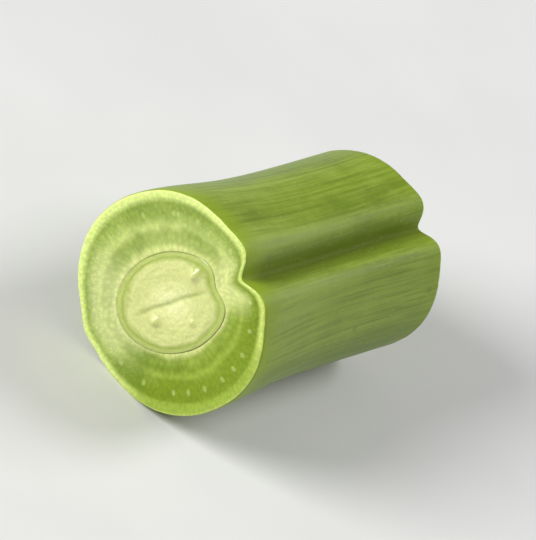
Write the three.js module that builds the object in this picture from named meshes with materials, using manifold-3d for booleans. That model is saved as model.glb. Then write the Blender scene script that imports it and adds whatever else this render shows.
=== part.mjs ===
// A short cut piece of a round green bean pod with the sliced seed still in it, lying on its side.
// Millimetres. +X runs along the pod, from the end cut through the seed to the hollow end, and +Z is up.
import * as THREE from "three";
import { mergeVertices } from "three/addons/utils/BufferGeometryUtils.js";
import Module from "manifold-3d";

const wasm = await Module();
wasm.setup();

const degrees = THREE.MathUtils.degToRad;

// The pod, measured between its cuts and across its section
const podLength = 13.0;
const podThickness = 9.15; // cheek to cheek, away from the seed
const podDepth = 9.15; // from the grooved seam to the ridged seam, away from the seed
const sectionPower = 2.15; // 2 is an ellipse, more is squarer
const bowDrop = 0.2; // how far the middle of the pod bows towards the ridged seam

// How it lies: the grooved seam leans towards -Y, and the weight rests on a small flat spot
const seamLean = degrees(30);
const restFlatSink = 0.12;

// The two knife cuts, as turns away from a square cut
const seedCutPitch = degrees(2); // looks towards the grooved seam
const seedCutYaw = degrees(3); // looks towards one cheek
const hollowCutPitch = degrees(3);
const hollowCutYaw = degrees(4);

// The grooved seam and its two lips
const grooveDepth = 0.75;
const grooveHalfWidth = 0.6;
const lipHeight = 0.15;
const lipOffset = 1.2;
const lipHalfWidth = 0.7;

// The ridged seam on the opposite edge
const ridgeHeight = 0.18;
const ridgeHalfWidth = 0.7;

// The seed chamber, which narrows to a neck before the next seed
const chamberThickness = 4.5;
const chamberDepth = 6.5;
const chamberShift = 0.1; // towards the grooved seam
const neckAt = 3.4;
const neckReach = 4.0;
const neckShare = 0.45;

// The seed stalk hangs from the chamber's roof under the grooved seam
const stalkLength = 0.55;
const stalkHalfWidth = 0.8;
const stalkAt = -6.0;
const stalkReach = 1.7;

// The seed, cut just past its middle
const seedGap = 0.12; // to the chamber's wall and the stalk
const seedHalfLength = 4.6;
const seedAt = -6.9;
const swellShare = 0.125; // the pod swells over its seed
const swellReach = 4.2;

// Facets
const skinSides = 88;
const skinSteps = 16;
const chamberSides = 48;
const chamberSteps = 28;
const seedSides = 48;
const seedRings = 24;
const seamCrowding = 0.7; // 0 spreads the facets evenly, towards 1 crowds them at both seams

const overrun = 2; // how far a tube runs past the cuts that trim it
const knifeSize = 40;

// A smooth hump, 1 at its middle
function hump(distance, halfWidth) {
  return Math.exp(-((distance / halfWidth) ** 2));
}

// An oval's radius at an angle from its depth
function ovalRadius(angle, depth, thickness, power) {
  const alongDepth = Math.abs((2 * Math.cos(angle)) / depth) ** power;
  const alongThickness = Math.abs((2 * Math.sin(angle)) / thickness) ** power;
  return (alongDepth + alongThickness) ** (-1 / power);
}

// The pod's skin, at an angle from the grooved seam
function skinRadius(angle, x) {
  const fromGroove = (Math.abs(angle) * podDepth) / 2;
  const fromRidge = ((Math.PI - Math.abs(angle)) * podDepth) / 2;
  const swell = 1 + swellShare * hump(x - seedAt, swellReach);
  return (
    swell * ovalRadius(angle, podDepth, podThickness, sectionPower) -
    grooveDepth * hump(fromGroove, grooveHalfWidth) +
    lipHeight * hump(fromGroove - lipOffset, lipHalfWidth) +
    ridgeHeight * hump(fromRidge, ridgeHalfWidth)
  );
}

// The chamber's wall, with the stalk standing in from its roof
function chamberRadius(angle, x) {
  const share = 1 - (1 - neckShare) * hump(x - neckAt, neckReach);
  const fromRoof = (Math.abs(angle) * chamberDepth) / 2;
  return (
    share * ovalRadius(angle, chamberDepth, chamberThickness, 2) -
    stalkLength * hump(fromRoof, stalkHalfWidth) * hump(x - stalkAt, stalkReach)
  );
}

function bow(x) {
  return -bowDrop * (1 - ((2 * x) / podLength) ** 2);
}

// Moves each point of a geometry by a formula
function reshape(geometry, move) {
  const points = geometry.getAttribute("position");
  const point = new THREE.Vector3();
  for (let i = 0; i < points.count; i++) {
    move(point.fromBufferAttribute(points, i));
    points.setXYZ(i, point.x, point.y, point.z);
  }
  return geometry;
}

// Widens a unit form round the X axis to radiusAt(angle, x), about an axis shifted to the grooved seam
function widen(geometry, radiusAt, shift) {
  return reshape(geometry, (point) => {
    const even = Math.atan2(point.y, point.z);
    const angle = even - (seamCrowding / 2) * Math.sin(2 * even);
    const radius = Math.hypot(point.y, point.z) * radiusAt(angle, point.x);
    point.y = radius * Math.sin(angle);
    point.z = radius * Math.cos(angle) + shift + bow(point.x);
  });
}

// A closed tube along X that runs past both cuts
function tube(radiusAt, shift, length, sides, steps) {
  const geometry = new THREE.CylinderGeometry(1, 1, length, sides, steps);
  return widen(geometry.rotateZ(-Math.PI / 2), radiusAt, shift);
}

// The seed as it grew: an egg that fills its chamber, with a hollow where the stalk meets it
function wholeSeed() {
  const geometry = new THREE.SphereGeometry(1, seedSides, seedRings);
  geometry.rotateZ(-Math.PI / 2);
  geometry.scale(seedHalfLength, 1, 1);
  geometry.translate(seedAt, 0, 0);
  return widen(geometry, (angle, x) => chamberRadius(angle, x) - seedGap, chamberShift);
}

// What a knife takes away past one end: a block with its near face on the cut
function knifeWaste(end, pitch, yaw) {
  const block = new THREE.BoxGeometry(knifeSize, knifeSize, knifeSize);
  block.translate((end * knifeSize) / 2, 0, 0);
  block.rotateY(pitch);
  block.rotateZ(yaw);
  block.translate((end * podLength) / 2, 0, 0);
  return block;
}

// Leans the pod about its axis, and tips it until both ends rest on a flat spot at Z 0
const seedEndRadius = skinRadius(seamLean - Math.PI, -podLength / 2);
const hollowEndRadius = skinRadius(seamLean - Math.PI, podLength / 2);
const tip = Math.atan((seedEndRadius - hollowEndRadius) / podLength);
const axisHeight = ((seedEndRadius + hollowEndRadius) / 2) * Math.cos(tip) - restFlatSink;

function layDown(geometry) {
  return geometry.rotateX(seamLean).rotateY(tip).translate(0, 0, axisHeight);
}

// A closed geometry as a solid that can be cut
function solid(geometry) {
  geometry.deleteAttribute("normal");
  geometry.deleteAttribute("uv");
  const merged = mergeVertices(geometry);
  const shape = {
    numProp: 3,
    vertProperties: new Float32Array(merged.getAttribute("position").array),
    triVerts: new Uint32Array(merged.index.array),
  };
  return new wasm.Manifold(new wasm.Mesh(shape));
}

function meshOf(body, name, material) {
  const { vertProperties, triVerts } = body.getMesh();
  const geometry = new THREE.BufferGeometry();
  geometry.setAttribute("position", new THREE.BufferAttribute(vertProperties, 3));
  geometry.setIndex(new THREE.BufferAttribute(triVerts, 1));
  geometry.computeVertexNormals();
  const mesh = new THREE.Mesh(geometry, material);
  mesh.name = name;
  return mesh;
}

// The blocks that trim the pod: both knife cuts and the surface that it lies on
const seedEndWaste = solid(layDown(knifeWaste(-1, seedCutPitch, seedCutYaw)));
const hollowEndWaste = solid(layDown(knifeWaste(1, hollowCutPitch, hollowCutYaw)));
const surface = new THREE.BoxGeometry(knifeSize, knifeSize, knifeSize);
const underSurface = solid(surface.translate(0, 0, -knifeSize / 2));

// The pod's wall: skin and flesh in one piece round the open chamber
const skinLength = podLength + 2 * overrun;
const chamberLength = skinLength + 2 * overrun;
const skin = solid(layDown(tube(skinRadius, 0, skinLength, skinSides, skinSteps)));
const chamber = tube(chamberRadius, chamberShift, chamberLength, chamberSides, chamberSteps);
const podWall = skin
  .subtract(solid(layDown(chamber)))
  .subtract(seedEndWaste)
  .subtract(hollowEndWaste)
  .subtract(underSurface);

// The seed, sliced by the same knife as the pod
const seed = solid(layDown(wholeSeed())).subtract(seedEndWaste);

const podGreen = new THREE.MeshStandardMaterial({ color: 0x7f9a3c, roughness: 0.45, metalness: 0 });
const seedCream = new THREE.MeshStandardMaterial({ color: 0xdde0a4, roughness: 0.4, metalness: 0 });

const piece = new THREE.Group();
piece.add(meshOf(podWall, "pod_wall", podGreen), meshOf(seed, "seed", seedCream));

// The origin is under the middle of the piece, on the surface that it lies on
const middle = new THREE.Box3().setFromObject(piece).getCenter(new THREE.Vector3());
piece.position.set(-middle.x, -middle.y, 0);

const greenBean = new THREE.Group();
greenBean.add(piece);

export default greenBean;
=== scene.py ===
import math

import bmesh
import bpy
from mathutils import Matrix, Vector, noise


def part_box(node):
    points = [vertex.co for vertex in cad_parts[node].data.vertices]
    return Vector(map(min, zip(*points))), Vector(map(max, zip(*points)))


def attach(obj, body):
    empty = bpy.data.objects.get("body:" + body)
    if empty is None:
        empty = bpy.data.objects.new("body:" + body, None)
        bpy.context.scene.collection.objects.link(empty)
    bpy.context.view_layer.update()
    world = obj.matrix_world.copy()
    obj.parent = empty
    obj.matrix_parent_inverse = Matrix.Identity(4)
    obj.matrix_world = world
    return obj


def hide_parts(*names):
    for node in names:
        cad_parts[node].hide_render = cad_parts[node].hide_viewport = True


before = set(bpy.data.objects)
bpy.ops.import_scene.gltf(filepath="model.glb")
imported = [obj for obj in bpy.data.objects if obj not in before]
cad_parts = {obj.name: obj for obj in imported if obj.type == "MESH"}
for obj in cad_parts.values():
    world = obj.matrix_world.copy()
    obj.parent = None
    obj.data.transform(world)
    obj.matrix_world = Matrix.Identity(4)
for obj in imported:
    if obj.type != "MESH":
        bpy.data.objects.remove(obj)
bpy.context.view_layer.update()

mm = 0.001  # shapes are worked out in millimetres and scaled once, when a piece is laid down


# small helpers for shapes

def hump(distance, halfWidth):
    return math.exp(-((distance / halfWidth) ** 2))  # 1 in the middle, soft on both sides


def blendValue(first, second, share):
    return first + (second - first) * share


def smoothShare(value, low, high):
    share = min(1.0, max(0.0, (value - low) / (high - low)))
    return share * share * (3 - 2 * share)


def ovalRadius(around, depth, thickness, power):
    alongDepth = abs(2 * math.cos(around) / depth) ** power
    alongThickness = abs(2 * math.sin(around) / thickness) ** power
    return (alongDepth + alongThickness) ** (-1 / power)


def wrappedNoise(around, x, relief):
    # noise wrapped round the pod, so that it has no join
    aside = math.cos(around) * relief["perTurn"]
    upward = math.sin(around) * relief["perTurn"]
    return relief["height"] * noise.noise(Vector((aside, upward, x * relief["perMm"] + relief["seed"])))


def wetGrain(point, perMm):
    return noise.fractal(point * perMm, 0.9, 2.0, 4)  # smoothness, step in scale and octaves


# the pod: skin, two cut faces and the seed chamber in one closed mesh

pod = {
    "length": 13.0,  # between the cuts
    "thickness": 9.15,  # cheek to cheek
    "depth": 9.15,  # grooved seam to ridged seam
    "sectionPower": 2.15,  # 2 is an ellipse, more is squarer
    "bowDrop": 0.2,
    "seamLean": math.radians(30),
    "restFlatSink": 0.12,
    "seedCutPitch": math.radians(2),
    "seedCutYaw": math.radians(3),
    "hollowCutPitch": math.radians(3),
    "hollowCutYaw": math.radians(4),
    "grooveDepth": 0.75,
    "grooveHalfWidth": 0.6,
    "grooveWander": 0.07,
    "wanderPerMm": 0.22,
    "wanderSeed": (3.1, 0.7),
    "lipHeight": 0.15,
    "lipOffset": 1.2,
    "lipHalfWidth": 0.7,
    "ridgeHeight": 0.18,
    "ridgeHalfWidth": 0.7,
    "swellShare": 0.125,  # the pod swells over its seed
    "swellReach": 4.2,
    # a relief's perTurn and perMm are how fine it is round the pod and along it
    "uneven": {"height": 0.06, "perTurn": 1.7, "perMm": 0.12, "seed": 5.0},
    "ribs": {"height": 0.008, "perTurn": 13.0, "perMm": 0.07, "seed": 11.0},
    "chamberThickness": 4.5,
    "chamberDepth": 6.5,
    "chamberShift": 0.1,  # towards the grooved seam
    "chamberUneven": {"height": 0.04, "perTurn": 1.5, "perMm": 0.3, "seed": 21.0},
    "neckAt": 3.4,
    "neckReach": 4.0,
    "neckShare": 0.45,
    "stalkLength": 0.55,
    "stalkHalfWidth": 0.8,
    "stalkAt": -6.0,
    "stalkReach": 1.7,
    "rimRound": 0.12,  # the knife leaves a slightly soft edge
    "skinTurn": 0.5,  # how far the skin goes over that edge, in radians
    "mouthRound": 0.05,
    "rimTear": {"height": 0.035, "perTurn": 9.0, "perMm": 1.0, "seed": 31.0},
    "tearAt": 7.0,  # where that noise is read, on each end's own side
    "tearReach": 0.12,  # as a share of the wall
    "dish": 0.06,  # the flesh draws back a little after the cut
    "dishFull": (0.2, 0.85),  # between these shares of the wall
    "layerAt": 0.58,  # one layer of the wall stands up a little
    "layerHalfWidth": 0.06,
    "layerHeight": 0.025,
    "faceUneven": 0.03,
    "facePerMm": 1.1,
    "sides": 320,
    "crowding": 0.45,  # more points towards both seams
    "skinRings": 96,
    "faceRings": 32,
    "chamberRings": 56,
    "rimRings": 4,
}

skinFinish, fleshFinish, liningFinish = 0, 1, 2
cutRounds = 3  # rounds that set a point on its slanted cut
mergeDistance = 1e-5


def bow(x):
    return -pod["bowDrop"] * (1 - (2 * x / pod["length"]) ** 2)


def skinRadius(around, x):
    halfDepth = pod["depth"] / 2
    wanderSpot = Vector((x * pod["wanderPerMm"], *pod["wanderSeed"]))
    wander = pod["grooveWander"] * noise.noise(wanderSpot)
    fromGroove = abs(around) * halfDepth
    grooveSide = abs(around * halfDepth - wander)
    fromRidge = (math.pi - abs(around)) * halfDepth
    swell = 1 + pod["swellShare"] * hump(x - seedShape["at"], pod["swellReach"])
    plain = ovalRadius(around, pod["depth"], pod["thickness"], pod["sectionPower"])
    return (
        swell * plain
        - pod["grooveDepth"] * hump(grooveSide, pod["grooveHalfWidth"])
        + pod["lipHeight"] * hump(fromGroove - pod["lipOffset"], pod["lipHalfWidth"])
        + pod["ridgeHeight"] * hump(fromRidge, pod["ridgeHalfWidth"])
    )


def chamberRadius(around, x):
    share = 1 - (1 - pod["neckShare"]) * hump(x - pod["neckAt"], pod["neckReach"])
    fromRoof = abs(around) * pod["chamberDepth"] / 2
    stalk = hump(fromRoof, pod["stalkHalfWidth"]) * hump(x - pod["stalkAt"], pod["stalkReach"])
    plain = ovalRadius(around, pod["chamberDepth"], pod["chamberThickness"], 2)
    uneven = wrappedNoise(around, x, pod["chamberUneven"])
    return share * plain - pod["stalkLength"] * stalk + uneven


def ringPoint(around, x, radius, shift):
    return Vector((x, radius * math.sin(around), radius * math.cos(around) + shift + bow(x)))


def skinPoint(around, x):
    relief = wrappedNoise(around, x, pod["uneven"]) + wrappedNoise(around, x, pod["ribs"])
    return ringPoint(around, x, skinRadius(around, x) + relief, 0)


def chamberPoint(around, x):
    return ringPoint(around, x, chamberRadius(around, x), pod["chamberShift"])


def cutX(point, middle, pitch, yaw):
    return middle - point.y * math.tan(yaw) + point.z * math.tan(pitch) / math.cos(yaw)


def seedCutX(point):
    return cutX(point, -pod["length"] / 2, pod["seedCutPitch"], pod["seedCutYaw"])


def hollowCutX(point):
    return cutX(point, pod["length"] / 2, pod["hollowCutPitch"], pod["hollowCutYaw"])


def station(finish, share, offset=0.0, inset=0.0, outset=None, depth=0.0):
    # share runs from the seed cut to the hollow cut and offset is in from the nearer cut;
    # depth runs across the wall, between inset from the skin and outset from the chamber
    return {"finish": finish, "share": share, "offset": offset, "inset": inset,
            "outset": outset, "depth": depth}


def roundTurns():
    return [math.radians(90 * i / pod["rimRings"]) for i in range(pod["rimRings"] + 1)]


def cutStations(share):
    # from the skin over the rim, across the cut flesh and round the edge into the chamber
    rim, mouth = pod["rimRound"], pod["mouthRound"]
    made = []
    for turn in roundTurns():
        finish = skinFinish if turn < pod["skinTurn"] else fleshFinish
        made.append(station(finish, share, rim * (1 - math.sin(turn)), rim * (1 - math.cos(turn))))
    for i in range(1, pod["faceRings"] + 1):
        made.append(station(fleshFinish, share, 0.0, rim, mouth, i / pod["faceRings"]))
    for turn in roundTurns()[1:]:
        edge = mouth * (1 - math.sin(turn))
        made.append(station(fleshFinish, share, mouth * (1 - math.cos(turn)), 0.0, edge, 1.0))
    return made


def podStations():
    made = cutStations(0)[:pod["rimRings"] + 1][::-1]
    for i in range(1, pod["skinRings"]):
        made.append(station(skinFinish, i / pod["skinRings"], pod["rimRound"]))
    made += cutStations(1)
    for i in range(1, pod["chamberRings"]):
        share = 1 - i / pod["chamberRings"]
        made.append(station(liningFinish, share, pod["mouthRound"], 0.0, 0.0, 1.0))
    made += cutStations(0)[pod["rimRings"]:][::-1]  # ends where it began, and is merged there
    return made


def faceRelief(spot, depth):
    full, last = pod["dishFull"]
    body = smoothShare(depth, 0.0, full) * (1 - smoothShare(depth, last, 1.0))
    layer = hump(depth - pod["layerAt"], pod["layerHalfWidth"]) * pod["layerHeight"]
    wet = wetGrain(spot, pod["facePerMm"]) * pod["faceUneven"]
    return body * (wet + layer - pod["dish"])


def podPoint(around, at):
    x = blendValue(-pod["length"] / 2, pod["length"] / 2, at["share"])
    for _ in range(cutRounds):  # the section changes with x, and x with the slanted cuts
        skin = skinPoint(around, x)
        wall = chamberPoint(around, x) - skin
        start = at["inset"] / wall.length
        end = start if at["outset"] is None else 1 - at["outset"] / wall.length
        reach = blendValue(start, end, at["depth"])
        point = skin + wall * reach
        low = seedCutX(point) + at["offset"]
        high = hollowCutX(point) - at["offset"]
        x = blendValue(low, high, at["share"])
    point.x = x
    if at["share"] in (0, 1):
        outward = 1 if at["share"] else -1
        torn = abs(wrappedNoise(around, outward * pod["tearAt"], pod["rimTear"]))
        point.x += outward * (faceRelief(point, at["depth"]) - torn * hump(reach, pod["tearReach"]))
    return point, reach


# the seed: an egg that fills its chamber, sliced by the same knife

seedShape = {
    "gap": 0.006,
    "gapUneven": {"height": 0.012, "perTurn": 1.1, "perMm": 0.2, "seed": 44.0},
    "halfLength": 4.6,
    "at": -6.9,
    "rimRound": 0.045,
    "rimReach": 0.06,  # a share of the way in from the coat, as for the crown and the step
    "crown": 0.05,
    "crownReach": 0.3,
    "stepAt": 0.10,  # a fine step where the coat ends
    "stepHalfWidth": 0.03,
    "stepDepth": 0.02,
    "faceUneven": 0.035,
    "facePerMm": 1.2,
    "creaseHalfWidth": 0.11,
    "creaseDepth": 0.06,
    "creaseReach": 0.80,  # a share of the chamber's half depth
    "creaseFade": 0.35,
    "creaseWander": 0.16,
    "wanderPerMm": 0.7,
    "wanderSeed": (4.0, 9.0),
    "beads": [  # moisture: sideways, towards the groove, size and height
        (0.85, 1.95, 0.25, 0.25),
        (-0.55, -1.1, 0.22, 0.24),
        (-1.1, 0.9, 0.16, 0.14),
    ],
    "sides": 224,
    "backRings": 36,
    "faceRings": 44,
}

coatFinish, slicedFinish = 0, 1


def seedStations():
    made = []
    for i in range(seedShape["backRings"] + 1):
        made.append({"finish": coatFinish, "turn": i / seedShape["backRings"], "depth": 0.0})
    for i in range(1, seedShape["faceRings"] + 1):
        made.append({"finish": slicedFinish, "turn": 1.0, "depth": i / seedShape["faceRings"]})
    return made


def creaseShare(point):
    lengthwise = abs(point.z - pod["chamberShift"]) / (pod["chamberDepth"] / 2)
    reach = seedShape["creaseReach"]
    ends = 1 - smoothShare(lengthwise, reach - seedShape["creaseFade"], reach)
    wanderSpot = Vector((point.z * seedShape["wanderPerMm"], *seedShape["wanderSeed"]))
    wander = seedShape["creaseWander"] * noise.noise(wanderSpot)
    return hump(point.y - wander, seedShape["creaseHalfWidth"]) * ends


def seedFaceRelief(point, depth):
    crown = seedShape["crown"] * smoothShare(depth, 0.0, seedShape["crownReach"])
    coatStep = hump(depth - seedShape["stepAt"], seedShape["stepHalfWidth"]) * seedShape["stepDepth"]
    wet = wetGrain(point, seedShape["facePerMm"]) * seedShape["faceUneven"]
    soft = (1 - smoothShare(depth, 0.0, seedShape["rimReach"])) * seedShape["rimRound"]
    beads = 0.0
    for y, z, size, height in seedShape["beads"]:
        beads += height * hump(math.hypot(point.y - y, point.z - z), size)
    return crown - coatStep + wet + beads - soft - seedShape["creaseDepth"] * creaseShare(point)


def coatPoint(around, x):
    # the coat follows the chamber's wall, with a hollow where the stalk meets it
    along = (x - seedShape["at"]) / seedShape["halfLength"]
    gap = seedShape["gap"] + max(0.0, wrappedNoise(around, x, seedShape["gapUneven"]))
    radius = (chamberRadius(around, x) - gap) * math.sqrt(max(0.0, 1 - along ** 2))
    return ringPoint(around, x, radius, pod["chamberShift"])


def seedPoint(around, at):
    sliceX = -pod["length"] / 2
    for _ in range(cutRounds):
        sliceX = seedCutX(coatPoint(around, sliceX))
    wholeTurn = math.acos((sliceX - seedShape["at"]) / seedShape["halfLength"])
    x = seedShape["at"] + seedShape["halfLength"] * math.cos(wholeTurn * at["turn"])
    point = coatPoint(around, x)
    if at["finish"] == slicedFinish:
        point = point.lerp(Vector((0, 0, pod["chamberShift"])), at["depth"])
        point.x = seedCutX(point) - seedFaceRelief(point, at["depth"])
    return point, at["depth"]


# both pieces are rings drawn out of one another, and each point keeps the values that materials use

def loftRings(bm, sides, crowding, stations, place):
    around = bm.verts.layers.float.new("around")
    wallDepth = bm.verts.layers.float.new("wallDepth")
    fromGroove = bm.verts.layers.float.new("fromGroove")
    fromCut = bm.verts.layers.float.new("fromCut")
    wrap = bm.verts.layers.float_vector.new("wrap")  # direction round the pod, then depth
    podPlace = bm.verts.layers.float_vector.new("podPlace")  # the pod's own axes, in millimetres
    skinPlace = bm.verts.layers.float_vector.new("skinPlace")  # lengthwise and round an even pod

    def settle(verts, at):
        for vert in verts:
            angle = vert[around]
            vert.co, depth = place(angle, at)
            vert[wallDepth] = depth
            vert[fromGroove] = abs(angle)
            vert[fromCut] = min(vert.co.x - seedCutX(vert.co), hollowCutX(vert.co) - vert.co.x)
            vert[wrap] = Vector((math.cos(angle), math.sin(angle), depth))
            vert[podPlace] = vert.co
            vert[skinPlace] = ringPoint(angle, vert.co.x, pod["thickness"] / 2, 0)

    verts = bmesh.ops.create_circle(bm, segments=sides, radius=1)["verts"]
    for vert in verts:
        even = math.atan2(vert.co.x, vert.co.y)
        vert[around] = even - crowding / 2 * math.sin(2 * even)
    settle(verts, stations[0])
    edges = list(bm.edges)
    for at in stations[1:]:
        made = bmesh.ops.extrude_edge_only(bm, edges=edges)["geom"]
        settle([g for g in made if isinstance(g, bmesh.types.BMVert)], at)
        edges = [g for g in made if isinstance(g, bmesh.types.BMEdge) and g.is_boundary]
        for edge in edges:
            edge.link_faces[0].material_index = at["finish"]
    bmesh.ops.remove_doubles(bm, verts=bm.verts, dist=mergeDistance)
    bmesh.ops.recalc_face_normals(bm, faces=bm.faces)


downwards = pod["seamLean"] - math.pi
seedEndRadius = skinRadius(downwards, -pod["length"] / 2)
hollowEndRadius = skinRadius(downwards, pod["length"] / 2)
tip = math.atan((seedEndRadius - hollowEndRadius) / pod["length"])
layTurn = Matrix.Rotation(tip, 3, "Y") @ Matrix.Rotation(pod["seamLean"], 3, "X")


def layDown(bm):
    # the same lean, tip and height as the solid, with a flat spot where it lies
    height = (seedEndRadius + hollowEndRadius) / 2 * math.cos(tip) - pod["restFlatSink"]
    bmesh.ops.rotate(bm, verts=bm.verts, cent=(0, 0, 0), matrix=layTurn)
    bmesh.ops.translate(bm, verts=bm.verts, vec=(0, 0, height))
    for vert in bm.verts:
        vert.co.z = max(vert.co.z, 0.0)
    bmesh.ops.scale(bm, verts=bm.verts, vec=(mm, mm, mm))


def finishPiece(bm, name, shift, materials):
    bmesh.ops.translate(bm, verts=bm.verts, vec=shift)
    for face in bm.faces:
        face.smooth = True
    mesh = bpy.data.meshes.new(name)
    bm.to_mesh(mesh)
    bm.free()
    piece = bpy.data.objects.new(name, mesh)
    bpy.context.scene.collection.objects.link(piece)
    for material in materials:
        mesh.materials.append(material)
    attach(piece, "root")
    print(name, "has", len(mesh.polygons), "faces")
    return piece


# helpers for materials

def paint(red, green, blue):
    # a colour as the eye sees it, 0 to 255, made linear
    shares = [value / 255 for value in (red, green, blue)]
    return (*[s / 12.92 if s <= 0.04045 else ((s + 0.055) / 1.055) ** 2.4 for s in shares], 1.0)


def plugIn(tree, socket, value):
    if isinstance(value, bpy.types.NodeSocket):
        tree.links.new(value, socket)
    else:
        socket.default_value = value


def addNode(tree, kind, inputs=None, **settings):
    node = tree.nodes.new("ShaderNode" + kind)
    for name, value in settings.items():
        setattr(node, name, value)
    for name, value in (inputs or {}).items():
        plugIn(tree, node.inputs[name], value)
    return node


def addMath(tree, operation, first, second=0.0):
    return addNode(tree, "Math", {0: first, 1: second}, operation=operation).outputs["Value"]


def times(tree, first, *others):
    for other in others:
        first = addMath(tree, "MULTIPLY", first, other)
    return first


def weighted(tree, layers):
    # adds up layers, each with its own share
    total = 0.0
    for layer, share in layers:
        total = addMath(tree, "ADD", times(tree, layer, share), total)
    return total


def addMix(tree, share, first, second):
    node = addNode(tree, "Mix", data_type="RGBA")
    for index, value in ((0, share), (6, first), (7, second)):  # the colour sockets of a Mix node
        plugIn(tree, node.inputs[index], value)
    return node.outputs[2]


def addRamp(tree, value, stops):
    node = addNode(tree, "ValToRGB", {"Fac": value})
    points = node.color_ramp.elements
    while len(points) < len(stops):
        points.new(0.5)
    for point, (position, colour) in zip(points, stops):
        point.position = position
        point.color = colour
    return node.outputs["Color"]


def addRange(tree, value, low, high, toLow=0.0, toHigh=1.0):
    node = addNode(tree, "MapRange", {0: value, 1: low, 2: high, 3: toLow, 4: toHigh})
    node.interpolation_type = "SMOOTHSTEP"
    return node.outputs["Result"]


def addBand(tree, value, middle, halfWidth):
    # 1 in the middle of the band, 0 outside it
    away = addMath(tree, "ABSOLUTE", addMath(tree, "SUBTRACT", value, middle))
    return addRange(tree, away, 0.0, halfWidth, 1.0, 0.0)


def addSwing(tree, depth, uneven, swing):
    # moves layers in and out unevenly, by a swing that changes with depth
    aside = addMath(tree, "SUBTRACT", uneven, 0.5)
    return addMath(tree, "ADD", depth, times(tree, aside, addRange(tree, depth, *swing)))


def addShade(tree, colour, value):
    return addNode(tree, "HueSaturation", {"Color": colour, "Value": value}).outputs["Color"]


def stretched(tree, place, scale):
    return addNode(tree, "Mapping", {"Vector": place, "Scale": scale}).outputs["Vector"]


def addNoise(tree, place, scale, detail, rough):
    sockets = {"Vector": place, "Scale": scale, "Detail": detail, "Roughness": rough}
    return addNode(tree, "TexNoise", sockets).outputs["Fac"]


def addCells(tree, place, scale):
    return addNode(tree, "TexVoronoi", {"Vector": place, "Scale": scale})


def splitPlace(tree, place):
    return addNode(tree, "SeparateXYZ", {"Vector": place}).outputs


def pieceValue(tree, name, output="Fac"):
    return addNode(tree, "Attribute", attribute_name=name).outputs[output]


def objectPlace(tree):
    return addNode(tree, "TexCoord").outputs["Object"]


def addBump(tree, shader, height, distance, strength):
    bump = addNode(tree, "Bump", {"Height": height, "Distance": distance, "Strength": strength})
    plugIn(tree, shader.inputs["Normal"], bump.outputs["Normal"])


def newMaterial(name, sockets):
    material = bpy.data.materials.new(name)
    material.use_nodes = True
    tree = material.node_tree
    shader = tree.nodes["Principled BSDF"]
    for socket, value in sockets.items():
        shader.inputs[socket].default_value = value
    return material, tree, shader


# in the looks below a range is from, to and what these become, which is 0 and 1 if not given;
# a band is its middle and half width; a grain is scale per metre, detail and roughness;
# angles are radians from the groove and lengths millimetres, but bumps and sockets are in metres

# pod skin

skinLook = {
    # the first colour is the skin's own darker green, which also paints shade on one cheek
    "darkToneAndShade": paint(102, 125, 28),
    "middle": paint(128, 151, 42),
    "pale": paint(155, 175, 72),
    # lip is the lips' paler colour, partly a painted highlight; it also paints the cheek's sheen and
    # tints the ridged seam
    "lip": paint(166, 185, 92),
    # groove is painted shade along the groove; seam is the darker suture line at its bottom
    "groove": paint(110, 128, 13),
    "seam": paint(94, 111, 9),
    "speck": paint(80, 94, 30),
    "pore": paint(168, 186, 104),
    "cutEdge": paint(143, 168, 26),
    "grain": {  # scale per millimetre along and across the pod, detail and roughness
        "broad": (0.06, 0.6, 3.0, 0.5),
        "thread": (0.07, 1.9, 2.0, 0.5),
        "fine": (0.11, 4.2, 3.0, 0.6),
        "lines": (0.16, 8.6, 2.0, 0.5),
        "mottle": (0.7, 0.7, 5.0, 0.65),
        "pebble": (5.2, 5.2, 2.0, 0.5),
    },
    "toneShares": {"broad": 0.34, "fine": 0.22, "thread": 0.18, "mottle": 0.26},
    "toneStops": (0.38, 0.5, 0.64),  # dark tone, middle and pale
    # one cheek gets a painted sheen below the groove and painted shade further round
    "cheekSide": (-1.6, -0.8, 1.0, 0.0),
    "cheekSheenBand": (0.45, 0.45),
    "cheekSheenShare": 0.36,
    "cheekShadeReach": (0.65, 1.15, 0.0, 0.6),
    "darkLines": (0.52, 0.68, 0.0, 0.45),
    "paleLines": (0.32, 0.48, 0.4, 0.0),
    "lipBand": (0.24, 0.16),
    "lipAlong": (-3.0, 4.0, 0.5, 0.05),
    # grooveReach spreads the groove's painted shade, seamReach the suture line
    "grooveReach": (0.02, 0.18, 0.9, 0.0),
    "seamReach": (0.01, 0.06, 0.5, 0.0),
    "ridgeReach": (2.98, 3.12, 0.0, 0.3),
    "poreScale": 3.6,  # per millimetre, as for the specks; their sizes are shares of the spacing
    "poreStretch": (0.6, 1, 1),
    "poreSize": (0.12, 0.30, 1.0, 0.0),
    "poreShare": 0.16,
    "speckScale": 0.48,
    "speckSize": (0.04, 0.11, 1.0, 0.0),
    "speckChance": 0.7,  # the share of places left bare
    "speckShare": 0.35,
    "glowReach": (0.1, 1.8, 0.8, 0.0),
    "glowMottle": (0.3, 0.7, 0.7, 1.0),
    "glowAlong": (-3.0, 4.0, 1.0, 0.35),
    "satin": (0.35, 0.65, 0.38, 0.52),
    "grooveRough": (0.03, 0.12, 0.3, 0.0),
    "lipRough": 0.18,
    "bumpShares": {"fine": 0.5, "pebble": 0.5, "lines": -0.5, "pore": -0.25},
    "bumpHeight": 0.000022,
    "bumpStrength": 0.8,
    "sockets": {
        "IOR": 1.45,
        "Specular IOR Level": 0.4,
        "Subsurface Weight": 0.18,
        "Subsurface Radius": (0.7, 1.0, 0.2),
        "Subsurface Scale": 0.0006,
        "Sheen Weight": 0.04,
        "Sheen Roughness": 0.45,
        "Sheen Tint": (0.85, 0.95, 0.7, 1.0),
    },
}


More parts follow.
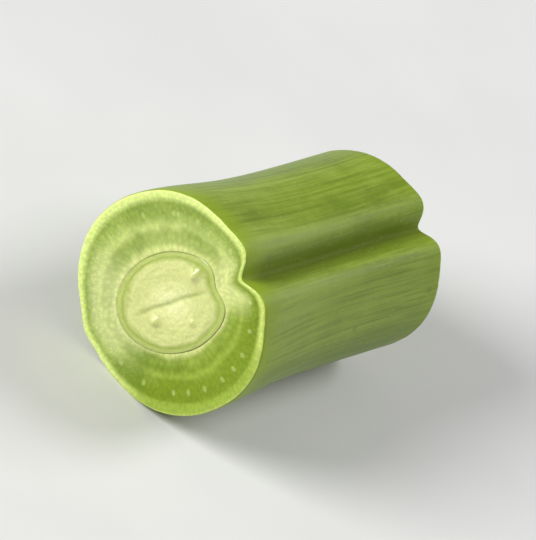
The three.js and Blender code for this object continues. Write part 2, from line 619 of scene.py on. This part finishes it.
def makeSkin():
    material, tree, shader = newMaterial("pod skin", skinLook["sockets"])
    place = pieceValue(tree, "skinPlace", "Vector")
    spot = splitPlace(tree, place)
    fromGroove = pieceValue(tree, "fromGroove")
    fromCut = pieceValue(tree, "fromCut")
    layers = {}
    for name, (along, across, detail, rough) in skinLook["grain"].items():
        grainPlace = stretched(tree, place, (along, across, across))
        layers[name] = addNoise(tree, grainPlace, 1.0, detail, rough)
    tone = weighted(tree, [(layers[name], share) for name, share in skinLook["toneShares"].items()])
    tones = (skinLook["darkToneAndShade"], skinLook["middle"], skinLook["pale"])
    colour = addRamp(tree, tone, list(zip(skinLook["toneStops"], tones)))

    # one cheek is paler below the groove, a painted sheen, and darker further round, painted shade
    cheek = addRange(tree, spot["Y"], *skinLook["cheekSide"])
    paintedSheen = times(tree, cheek, addBand(tree, fromGroove, *skinLook["cheekSheenBand"]))
    colour = addMix(tree, times(tree, paintedSheen, skinLook["cheekSheenShare"]), colour, skinLook["lip"])
    paintedShade = times(tree, cheek, addRange(tree, fromGroove, *skinLook["cheekShadeReach"]))
    colour = addMix(tree, paintedShade, colour, skinLook["darkToneAndShade"])

    # fine lengthwise lines
    for reach, tint in (("darkLines", "darkToneAndShade"), ("paleLines", "pale")):
        share = addRange(tree, layers["lines"], *skinLook[reach])
        colour = addMix(tree, share, colour, skinLook[tint])

    # the two lips are paler, their own colour and partly a painted highlight, most where the pod swells,
    # the groove between them is darker with painted shade and a darker suture line, the ridged seam
    # paler
    lipBand = addBand(tree, fromGroove, *skinLook["lipBand"])
    lip = times(tree, addRange(tree, spot["X"], *skinLook["lipAlong"]), lipBand)
    colour = addMix(tree, lip, colour, skinLook["lip"])
    for reach, tint in (("grooveReach", "groove"), ("seamReach", "seam"), ("ridgeReach", "lip")):
        share = addRange(tree, fromGroove, *skinLook[reach])
        colour = addMix(tree, share, colour, skinLook[tint])

    # fine pores and a few dark specks
    pores = addCells(tree, stretched(tree, place, skinLook["poreStretch"]), skinLook["poreScale"])
    layers["pore"] = addRange(tree, pores.outputs["Distance"], *skinLook["poreSize"])
    colour = addMix(tree, times(tree, layers["pore"], skinLook["poreShare"]), colour, skinLook["pore"])
    specks = addCells(tree, place, skinLook["speckScale"])
    chance = addNode(tree, "SeparateColor", {"Color": specks.outputs["Color"]}).outputs["Red"]
    chosen = addMath(tree, "GREATER_THAN", chance, skinLook["speckChance"])
    speck = times(tree, addRange(tree, specks.outputs["Distance"], *skinLook["speckSize"]), chosen)
    colour = addMix(tree, times(tree, speck, skinLook["speckShare"]), colour, skinLook["speck"])

    # light comes through the skin beside the knife cuts
    glow = times(
        tree,
        addRange(tree, fromCut, *skinLook["glowReach"]),
        addRange(tree, layers["mottle"], *skinLook["glowMottle"]),
        addRange(tree, spot["X"], *skinLook["glowAlong"]),
    )
    colour = addMix(tree, glow, colour, skinLook["cutEdge"])
    plugIn(tree, shader.inputs["Base Color"], colour)

    satin = addRange(tree, tone, *skinLook["satin"])
    satin = addMath(tree, "ADD", satin, addRange(tree, fromGroove, *skinLook["grooveRough"]))
    satin = addMath(tree, "ADD", satin, times(tree, lipBand, skinLook["lipRough"]))
    plugIn(tree, shader.inputs["Roughness"], satin)
    height = weighted(tree, [(layers[name], share) for name, share in skinLook["bumpShares"].items()])
    addBump(tree, shader, height, skinLook["bumpHeight"], skinLook["bumpStrength"])
    return material


# cut flesh: depth is the share of the wall from the skin to the chamber

fleshLook = {
    "greenCheekLayers": [
        (0.0, paint(198, 214, 112)), (0.10, paint(192, 209, 104)), (0.20, paint(120, 144, 20)),
        (0.38, paint(122, 147, 20)), (0.52, paint(128, 152, 28)), (0.60, paint(148, 170, 56)),
        (0.70, paint(130, 154, 38)), (0.88, paint(152, 173, 66)), (0.96, paint(200, 210, 126)),
    ],
    "paleCheekLayers": [
        (0.0, paint(218, 234, 142)), (0.11, paint(212, 228, 134)), (0.20, paint(148, 170, 74)),
        (0.34, paint(155, 176, 80)), (0.49, paint(184, 200, 110)), (0.57, paint(190, 204, 117)),
        (0.69, paint(158, 176, 86)), (0.86, paint(168, 185, 98)), (0.95, paint(203, 212, 131)),
    ],
    # stalk is the pale tissue where the stalk hangs, made paler still as a painted highlight
    "stalk": paint(218, 226, 148),
    "ridgeSide": paint(210, 218, 150),
    "fadedRim": paint(142, 167, 48),
    "wetPatch": paint(98, 126, 10),
    "strand": paint(190, 204, 116),
    "uneven": (520, 3.0, 0.55),
    "layerSwing": (0.08, 0.4, 0.0, 0.3),
    "paleCheekSlant": 0.35,  # how far the line between the pale and the green cheek leans
    "paleCheekUneven": 2.0,
    "paleCheekReach": (-1.8, 1.8),
    "patchGrain": (420, 4.0, 0.6),
    "patchReach": (0.46, 0.62, 0.0, 0.6),
    "patchDepth": (0.1, 0.25),
    "patchPaleCheek": (0.0, 1.0, 1.0, 0.55),
    "fadedRimSide": (-4.2, -2.6, 0.85, 0.0),
    "fadedRimStart": (0.01, 0.06),
    "fadedRimEnd": (0.15, 0.25, 1.0, 0.0),
    "strandsPerRadian": 3.6,
    "strandApart": 1.17,
    "strandDepth": 0.37,
    "wallThickness": 2.1,
    "strandSize": (0.05, 0.15, 1.0, 0.0),
    "strandShare": 0.55,
    "bundleSide": (0.17, 0.10),
    "bundleDepth": (0.42, 0.22),
    "bundleShare": 0.6,
    "stalkReach": (0.1, 0.5, 0.85, 0.0),
    "stalkDepth": (0.2, 0.65),
    "ridgeReach": (2.0, 2.7, 0.0, 0.62),
    "ridgeDepth": (0.12, 0.4),
    "ridgeCheek": (-2.2, -0.4),
    "smallCells": (30, 30, 13),  # round the pod, twice, and across the wall
    "largeCells": (15, 15, 8),
    "cellGrowth": (0.25, 0.8),
    "cellShade": (0.15, 0.8, 1.08, 0.90),
    "gloss": (1500, 2.0, 0.5),
    "glossRough": (0.3, 0.7, 0.26, 0.48),
    "unevenBump": 0.6,
    "cellBump": -0.5,
    "bumpHeight": 0.00005,
    "bumpStrength": 0.8,
    "sockets": {
        "IOR": 1.38,
        "Specular IOR Level": 0.2,
        "Subsurface Weight": 0.3,
        "Subsurface Radius": (0.8, 1.0, 0.25),
        "Subsurface Scale": 0.0007,
        "Coat Weight": 0.6,
        "Coat Roughness": 0.09,
        "Coat IOR": 1.36,
    },
}


def makeFlesh():
    material, tree, shader = newMaterial("cut pod flesh", fleshLook["sockets"])
    place = objectPlace(tree)
    depth = pieceValue(tree, "wallDepth")
    wrap = pieceValue(tree, "wrap", "Vector")
    fromGroove = pieceValue(tree, "fromGroove")
    spot = splitPlace(tree, pieceValue(tree, "podPlace", "Vector"))

    # layers from the skin to the chamber, a little uneven further in
    uneven = addNoise(tree, place, *fleshLook["uneven"])
    layered = addSwing(tree, depth, uneven, fleshLook["layerSwing"])

    # one cheek's flesh is paler, the other greener
    slant = addMath(tree, "SUBTRACT", spot["Y"], times(tree, spot["Z"], fleshLook["paleCheekSlant"]))
    slant = addMath(tree, "ADD", slant, times(tree, uneven, fleshLook["paleCheekUneven"]))
    paleCheek = addRange(tree, slant, *fleshLook["paleCheekReach"])
    greenCheekColour = addRamp(tree, layered, fleshLook["greenCheekLayers"])
    colour = addMix(tree, paleCheek, greenCheekColour, addRamp(tree, layered, fleshLook["paleCheekLayers"]))
    patch = times(
        tree,
        addRange(tree, addNoise(tree, place, *fleshLook["patchGrain"]), *fleshLook["patchReach"]),
        addRange(tree, depth, *fleshLook["patchDepth"]),
        addRange(tree, paleCheek, *fleshLook["patchPaleCheek"]),
    )
    colour = addMix(tree, patch, colour, fleshLook["wetPatch"])

    # the pale rim fades to green on the greener cheek
    fadedRim = times(
        tree,
        addRange(tree, spot["Y"], *fleshLook["fadedRimSide"]),
        addRange(tree, depth, *fleshLook["fadedRimStart"]),
        addRange(tree, depth, *fleshLook["fadedRimEnd"]),
    )
    colour = addMix(tree, fadedRim, colour, fleshLook["fadedRim"])

    # a ring of cut strands, and two thicker ones beside the groove
    turned = splitPlace(tree, wrap)
    angle = addMath(tree, "ARCTAN2", turned["Y"], turned["X"])
    ring = {"W": angle, "Scale": fleshLook["strandsPerRadian"]}
    strands = addNode(tree, "TexVoronoi", ring, voronoi_dimensions="1D")
    aside = times(tree, strands.outputs["Distance"], fleshLook["strandApart"])
    inside = addMath(tree, "SUBTRACT", depth, fleshLook["strandDepth"])
    inside = times(tree, inside, fleshLook["wallThickness"])
    away = addNode(tree, "CombineXYZ", {"X": aside, "Y": inside})
    away = addNode(tree, "VectorMath", {0: away.outputs["Vector"]}, operation="LENGTH")
    strand = addRange(tree, away.outputs["Value"], *fleshLook["strandSize"])
    colour = addMix(tree, times(tree, strand, fleshLook["strandShare"]), colour, fleshLook["strand"])
    bundle = times(
        tree,
        addBand(tree, fromGroove, *fleshLook["bundleSide"]),
        addBand(tree, depth, *fleshLook["bundleDepth"]),
        fleshLook["bundleShare"],
    )
    colour = addMix(tree, bundle, colour, fleshLook["strand"])

    # paler flesh under the groove, where the stalk hangs, partly its own colour and partly a painted
    # highlight, and along the ridged seam
    stalk = times(
        tree,
        addRange(tree, fromGroove, *fleshLook["stalkReach"]),
        addRange(tree, depth, *fleshLook["stalkDepth"]),
    )
    colour = addMix(tree, stalk, colour, fleshLook["stalk"])
    ridgeSide = times(
        tree,
        addRange(tree, fromGroove, *fleshLook["ridgeReach"]),
        addRange(tree, depth, *fleshLook["ridgeDepth"]),
        addRange(tree, spot["Y"], *fleshLook["ridgeCheek"]),
    )
    colour = addMix(tree, ridgeSide, colour, fleshLook["ridgeSide"])

    # juicy cells, small under the skin and larger towards the chamber
    small = addCells(tree, stretched(tree, wrap, fleshLook["smallCells"]), 1.0).outputs["Distance"]
    large = addCells(tree, stretched(tree, wrap, fleshLook["largeCells"]), 1.0).outputs["Distance"]
    growth = addRange(tree, depth, *fleshLook["cellGrowth"])
    cells = addNode(tree, "Mix", {0: growth, 2: small, 3: large}).outputs[0]
    shade = addRange(tree, cells, *fleshLook["cellShade"])
    plugIn(tree, shader.inputs["Base Color"], addShade(tree, colour, shade))

    gloss = addNoise(tree, place, *fleshLook["gloss"])
    plugIn(tree, shader.inputs["Roughness"], addRange(tree, gloss, *fleshLook["glossRough"]))
    height = weighted(tree, ((uneven, fleshLook["unevenBump"]), (cells, fleshLook["cellBump"])))
    addBump(tree, shader, height, fleshLook["bumpHeight"], fleshLook["bumpStrength"])
    return material


# two tones in soft clouds, for the chamber's lining and the seed's coat

def addClouds(tree, shader, look):
    cloud = addNoise(tree, objectPlace(tree), *look["clouds"])
    tones = list(zip(look["cloudStops"], look["cloudTones"]))
    plugIn(tree, shader.inputs["Base Color"], addRamp(tree, cloud, tones))
    plugIn(tree, shader.inputs["Roughness"], addRange(tree, cloud, *look["cloudRough"]))
    addBump(tree, shader, cloud, look["bumpHeight"], look["cloudBump"])


liningLook = {
    "clouds": (900, 4.0, 0.6),
    "cloudStops": (0.3, 0.62),
    "cloudTones": (paint(150, 174, 72), paint(200, 212, 136)),
    "cloudRough": (0.3, 0.7, 0.2, 0.4),
    "cloudBump": 0.8,
    "bumpHeight": 0.00004,
    "sockets": {
        "IOR": 1.38,
        "Subsurface Weight": 0.3,
        "Subsurface Radius": (0.8, 1.0, 0.3),
        "Subsurface Scale": 0.0007,
        "Coat Weight": 0.2,
        "Coat Roughness": 0.15,
    },
}


def makeLining():
    material, tree, shader = newMaterial("chamber lining", liningLook["sockets"])
    addClouds(tree, shader, liningLook)
    return material


# seed: a thin coat round two pale halves

coatTone, coatLine = paint(180, 194, 102), paint(159, 176, 76)
seedLook = {
    "clouds": (1100, 3.0, 0.6),
    "cloudStops": (0.3, 0.65),
    "cloudTones": (coatLine, coatTone),
    "cloudRough": (0.3, 0.7, 0.22, 0.38),
    "cloudBump": 0.6,
    "layers": [
        (0.0, coatTone), (0.06, coatTone), (0.10, coatLine),
        (0.20, paint(206, 212, 136)), (0.5, paint(206, 212, 136)), (0.85, paint(228, 231, 166)),
    ],
    "crease": paint(156, 172, 78),
    "creaseShare": 0.5,
    "uneven": (700, 3.0, 0.6),
    "layerSwing": (0.05, 0.3, 0.02, 0.5),
    "cellScale": 7000,  # per metre
    "cellShade": (0.1, 0.75, 1.04, 0.95),
    "cutRough": (0.3, 0.7, 0.26, 0.44),
    "unevenBump": 1.0,
    "cellBump": -0.3,
    "cutBump": 0.7,
    "bumpHeight": 0.00004,
    "sockets": {
        "IOR": 1.40,
        "Subsurface Weight": 0.35,
        "Subsurface Radius": (1.0, 1.0, 0.5),
        "Subsurface Scale": 0.0008,
        "Coat Weight": 0.7,
        "Coat Roughness": 0.08,
        "Coat IOR": 1.36,
    },
}


def makeSeedCoat():
    material, tree, shader = newMaterial("seed coat", seedLook["sockets"])
    addClouds(tree, shader, seedLook)
    return material


def makeSeedCut():
    material, tree, shader = newMaterial("cut seed", seedLook["sockets"])
    place = objectPlace(tree)
    uneven = addNoise(tree, place, *seedLook["uneven"])
    layered = addSwing(tree, pieceValue(tree, "wallDepth"), uneven, seedLook["layerSwing"])
    colour = addRamp(tree, layered, seedLook["layers"])
    crease = times(tree, pieceValue(tree, "crease"), seedLook["creaseShare"])
    colour = addMix(tree, crease, colour, seedLook["crease"])
    cells = addCells(tree, place, seedLook["cellScale"]).outputs["Distance"]
    shade = addRange(tree, cells, *seedLook["cellShade"])
    plugIn(tree, shader.inputs["Base Color"], addShade(tree, colour, shade))
    plugIn(tree, shader.inputs["Roughness"], addRange(tree, uneven, *seedLook["cutRough"]))
    height = weighted(tree, ((uneven, seedLook["unevenBump"]), (cells, seedLook["cellBump"])))
    addBump(tree, shader, height, seedLook["bumpHeight"], seedLook["cutBump"])
    return material


# build the pod over its solid

bm = bmesh.new()
loftRings(bm, pod["sides"], pod["crowding"], podStations(), podPoint)
layDown(bm)
solidLow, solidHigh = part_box("pod_wall")
xs = [vert.co.x for vert in bm.verts]
ys = [vert.co.y for vert in bm.verts]
middle = Vector((min(xs) + max(xs), min(ys) + max(ys), 0)) / 2
shift = Vector((solidLow.x + solidHigh.x, solidLow.y + solidHigh.y, 0)) / 2 - middle
podPiece = finishPiece(bm, "bean_pod", shift, [makeSkin(), makeFlesh(), makeLining()])
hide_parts("pod_wall")


# build the seed in its chamber

bm = bmesh.new()
loftRings(bm, seedShape["sides"], 0.0, seedStations(), seedPoint)
creaseLayer = bm.verts.layers.float.new("crease")
for vert in bm.verts:
    vert[creaseLayer] = creaseShare(vert.co)
layDown(bm)
seedPiece = finishPiece(bm, "bean_seed", shift, [makeSeedCoat(), makeSeedCut()])
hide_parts("seed")


# plain pale floor

floorLook = {
    "halfSize": 0.6,
    "clouds": (90, 3.0, 0.5),
    "tones": [(0.3, paint(224, 224, 222)), (0.7, paint(230, 230, 228))],
    "sockets": {"Roughness": 0.6, "Specular IOR Level": 0.3},
}

bm = bmesh.new()
bmesh.ops.create_grid(bm, x_segments=2, y_segments=2, size=floorLook["halfSize"])
floorMesh = bpy.data.meshes.new("floor")
bm.to_mesh(floorMesh)
bm.free()
floor = bpy.data.objects.new("floor", floorMesh)
bpy.context.scene.collection.objects.link(floor)
material, tree, shader = newMaterial("pale floor", floorLook["sockets"])
cloud = addNoise(tree, objectPlace(tree), *floorLook["clouds"])
plugIn(tree, shader.inputs["Base Color"], addRamp(tree, cloud, floorLook["tones"]))
floorMesh.materials.append(material)
print("floor done")


# camera: the line of sight keeps the photograph's angle to the pod, which points right and a little up

view = {
    "fromAxis": math.radians(42),  # between the line of sight and the pod
    "grooveUp": math.radians(1),  # how far the groove is turned up from facing the lens
    "rise": math.radians(16.5),  # how far the pod points up in the picture
    "distance": 0.45,
    "nearest": 0.01,
    "lens": 670,
    "target": Vector((0.0, 0.0, 0.0052)),
}

podAxis = layTurn @ Vector((1, 0, 0))
facing = layTurn @ Vector((0, -math.sin(view["grooveUp"]), math.cos(view["grooveUp"])))
toLens = facing * math.sin(view["fromAxis"]) - podAxis * math.cos(view["fromAxis"])
podAcross = podAxis - toLens * toLens.dot(podAxis)  # the pod's axis as the picture shows it
podAcross.normalize()
podUp = toLens.cross(podAcross)
right = podAcross * math.cos(view["rise"]) - podUp * math.sin(view["rise"])
up = toLens.cross(right)

cameraData = bpy.data.cameras.new("camera")
cameraData.lens = view["lens"]
cameraData.clip_start = view["nearest"]
camera = bpy.data.objects.new("camera", cameraData)
bpy.context.scene.collection.objects.link(camera)
turn = Matrix((right, up, toLens)).transposed().to_4x4()
camera.matrix_world = Matrix.Translation(view["target"] + toLens * view["distance"]) @ turn
bpy.context.scene.camera = camera


# soft studio light: a broad key from the picture's upper left, one from the right for sheen, a pale room

lights = {
    "key": {"towards": (-0.54, 0.50, 0.68), "distance": 0.30, "size": 0.16, "power": 0.97},
    "sheen": {"towards": (0.90, 0.35, 0.05), "distance": 0.25, "size": 0.13, "power": 0.37},
}
roomLook = {"colour": (0.97, 0.98, 1.0, 1.0), "strength": 0.17}


def addLight(name, look):
    # towards is in the picture's own directions: right, up and to the lens
    heading = Vector()
    for share, direction in zip(look["towards"], (right, up, toLens)):
        heading += direction * share
    heading.normalize()
    data = bpy.data.lights.new(name, "AREA")
    data.shape = "DISK"
    data.size = look["size"]
    data.energy = look["power"]
    lamp = bpy.data.objects.new(name, data)
    bpy.context.scene.collection.objects.link(lamp)
    lamp.location = view["target"] + heading * look["distance"]
    lamp.rotation_euler = heading.to_track_quat("Z", "Y").to_euler()


for name, look in lights.items():
    addLight(name, look)

room = bpy.data.worlds.new("room")
room.use_nodes = True
backdrop = room.node_tree.nodes["Background"]
backdrop.inputs["Color"].default_value = roomLook["colour"]
backdrop.inputs["Strength"].default_value = roomLook["strength"]
bpy.context.scene.world = room
bpy.context.scene.view_settings.view_transform = "Standard"
print("camera and light done")
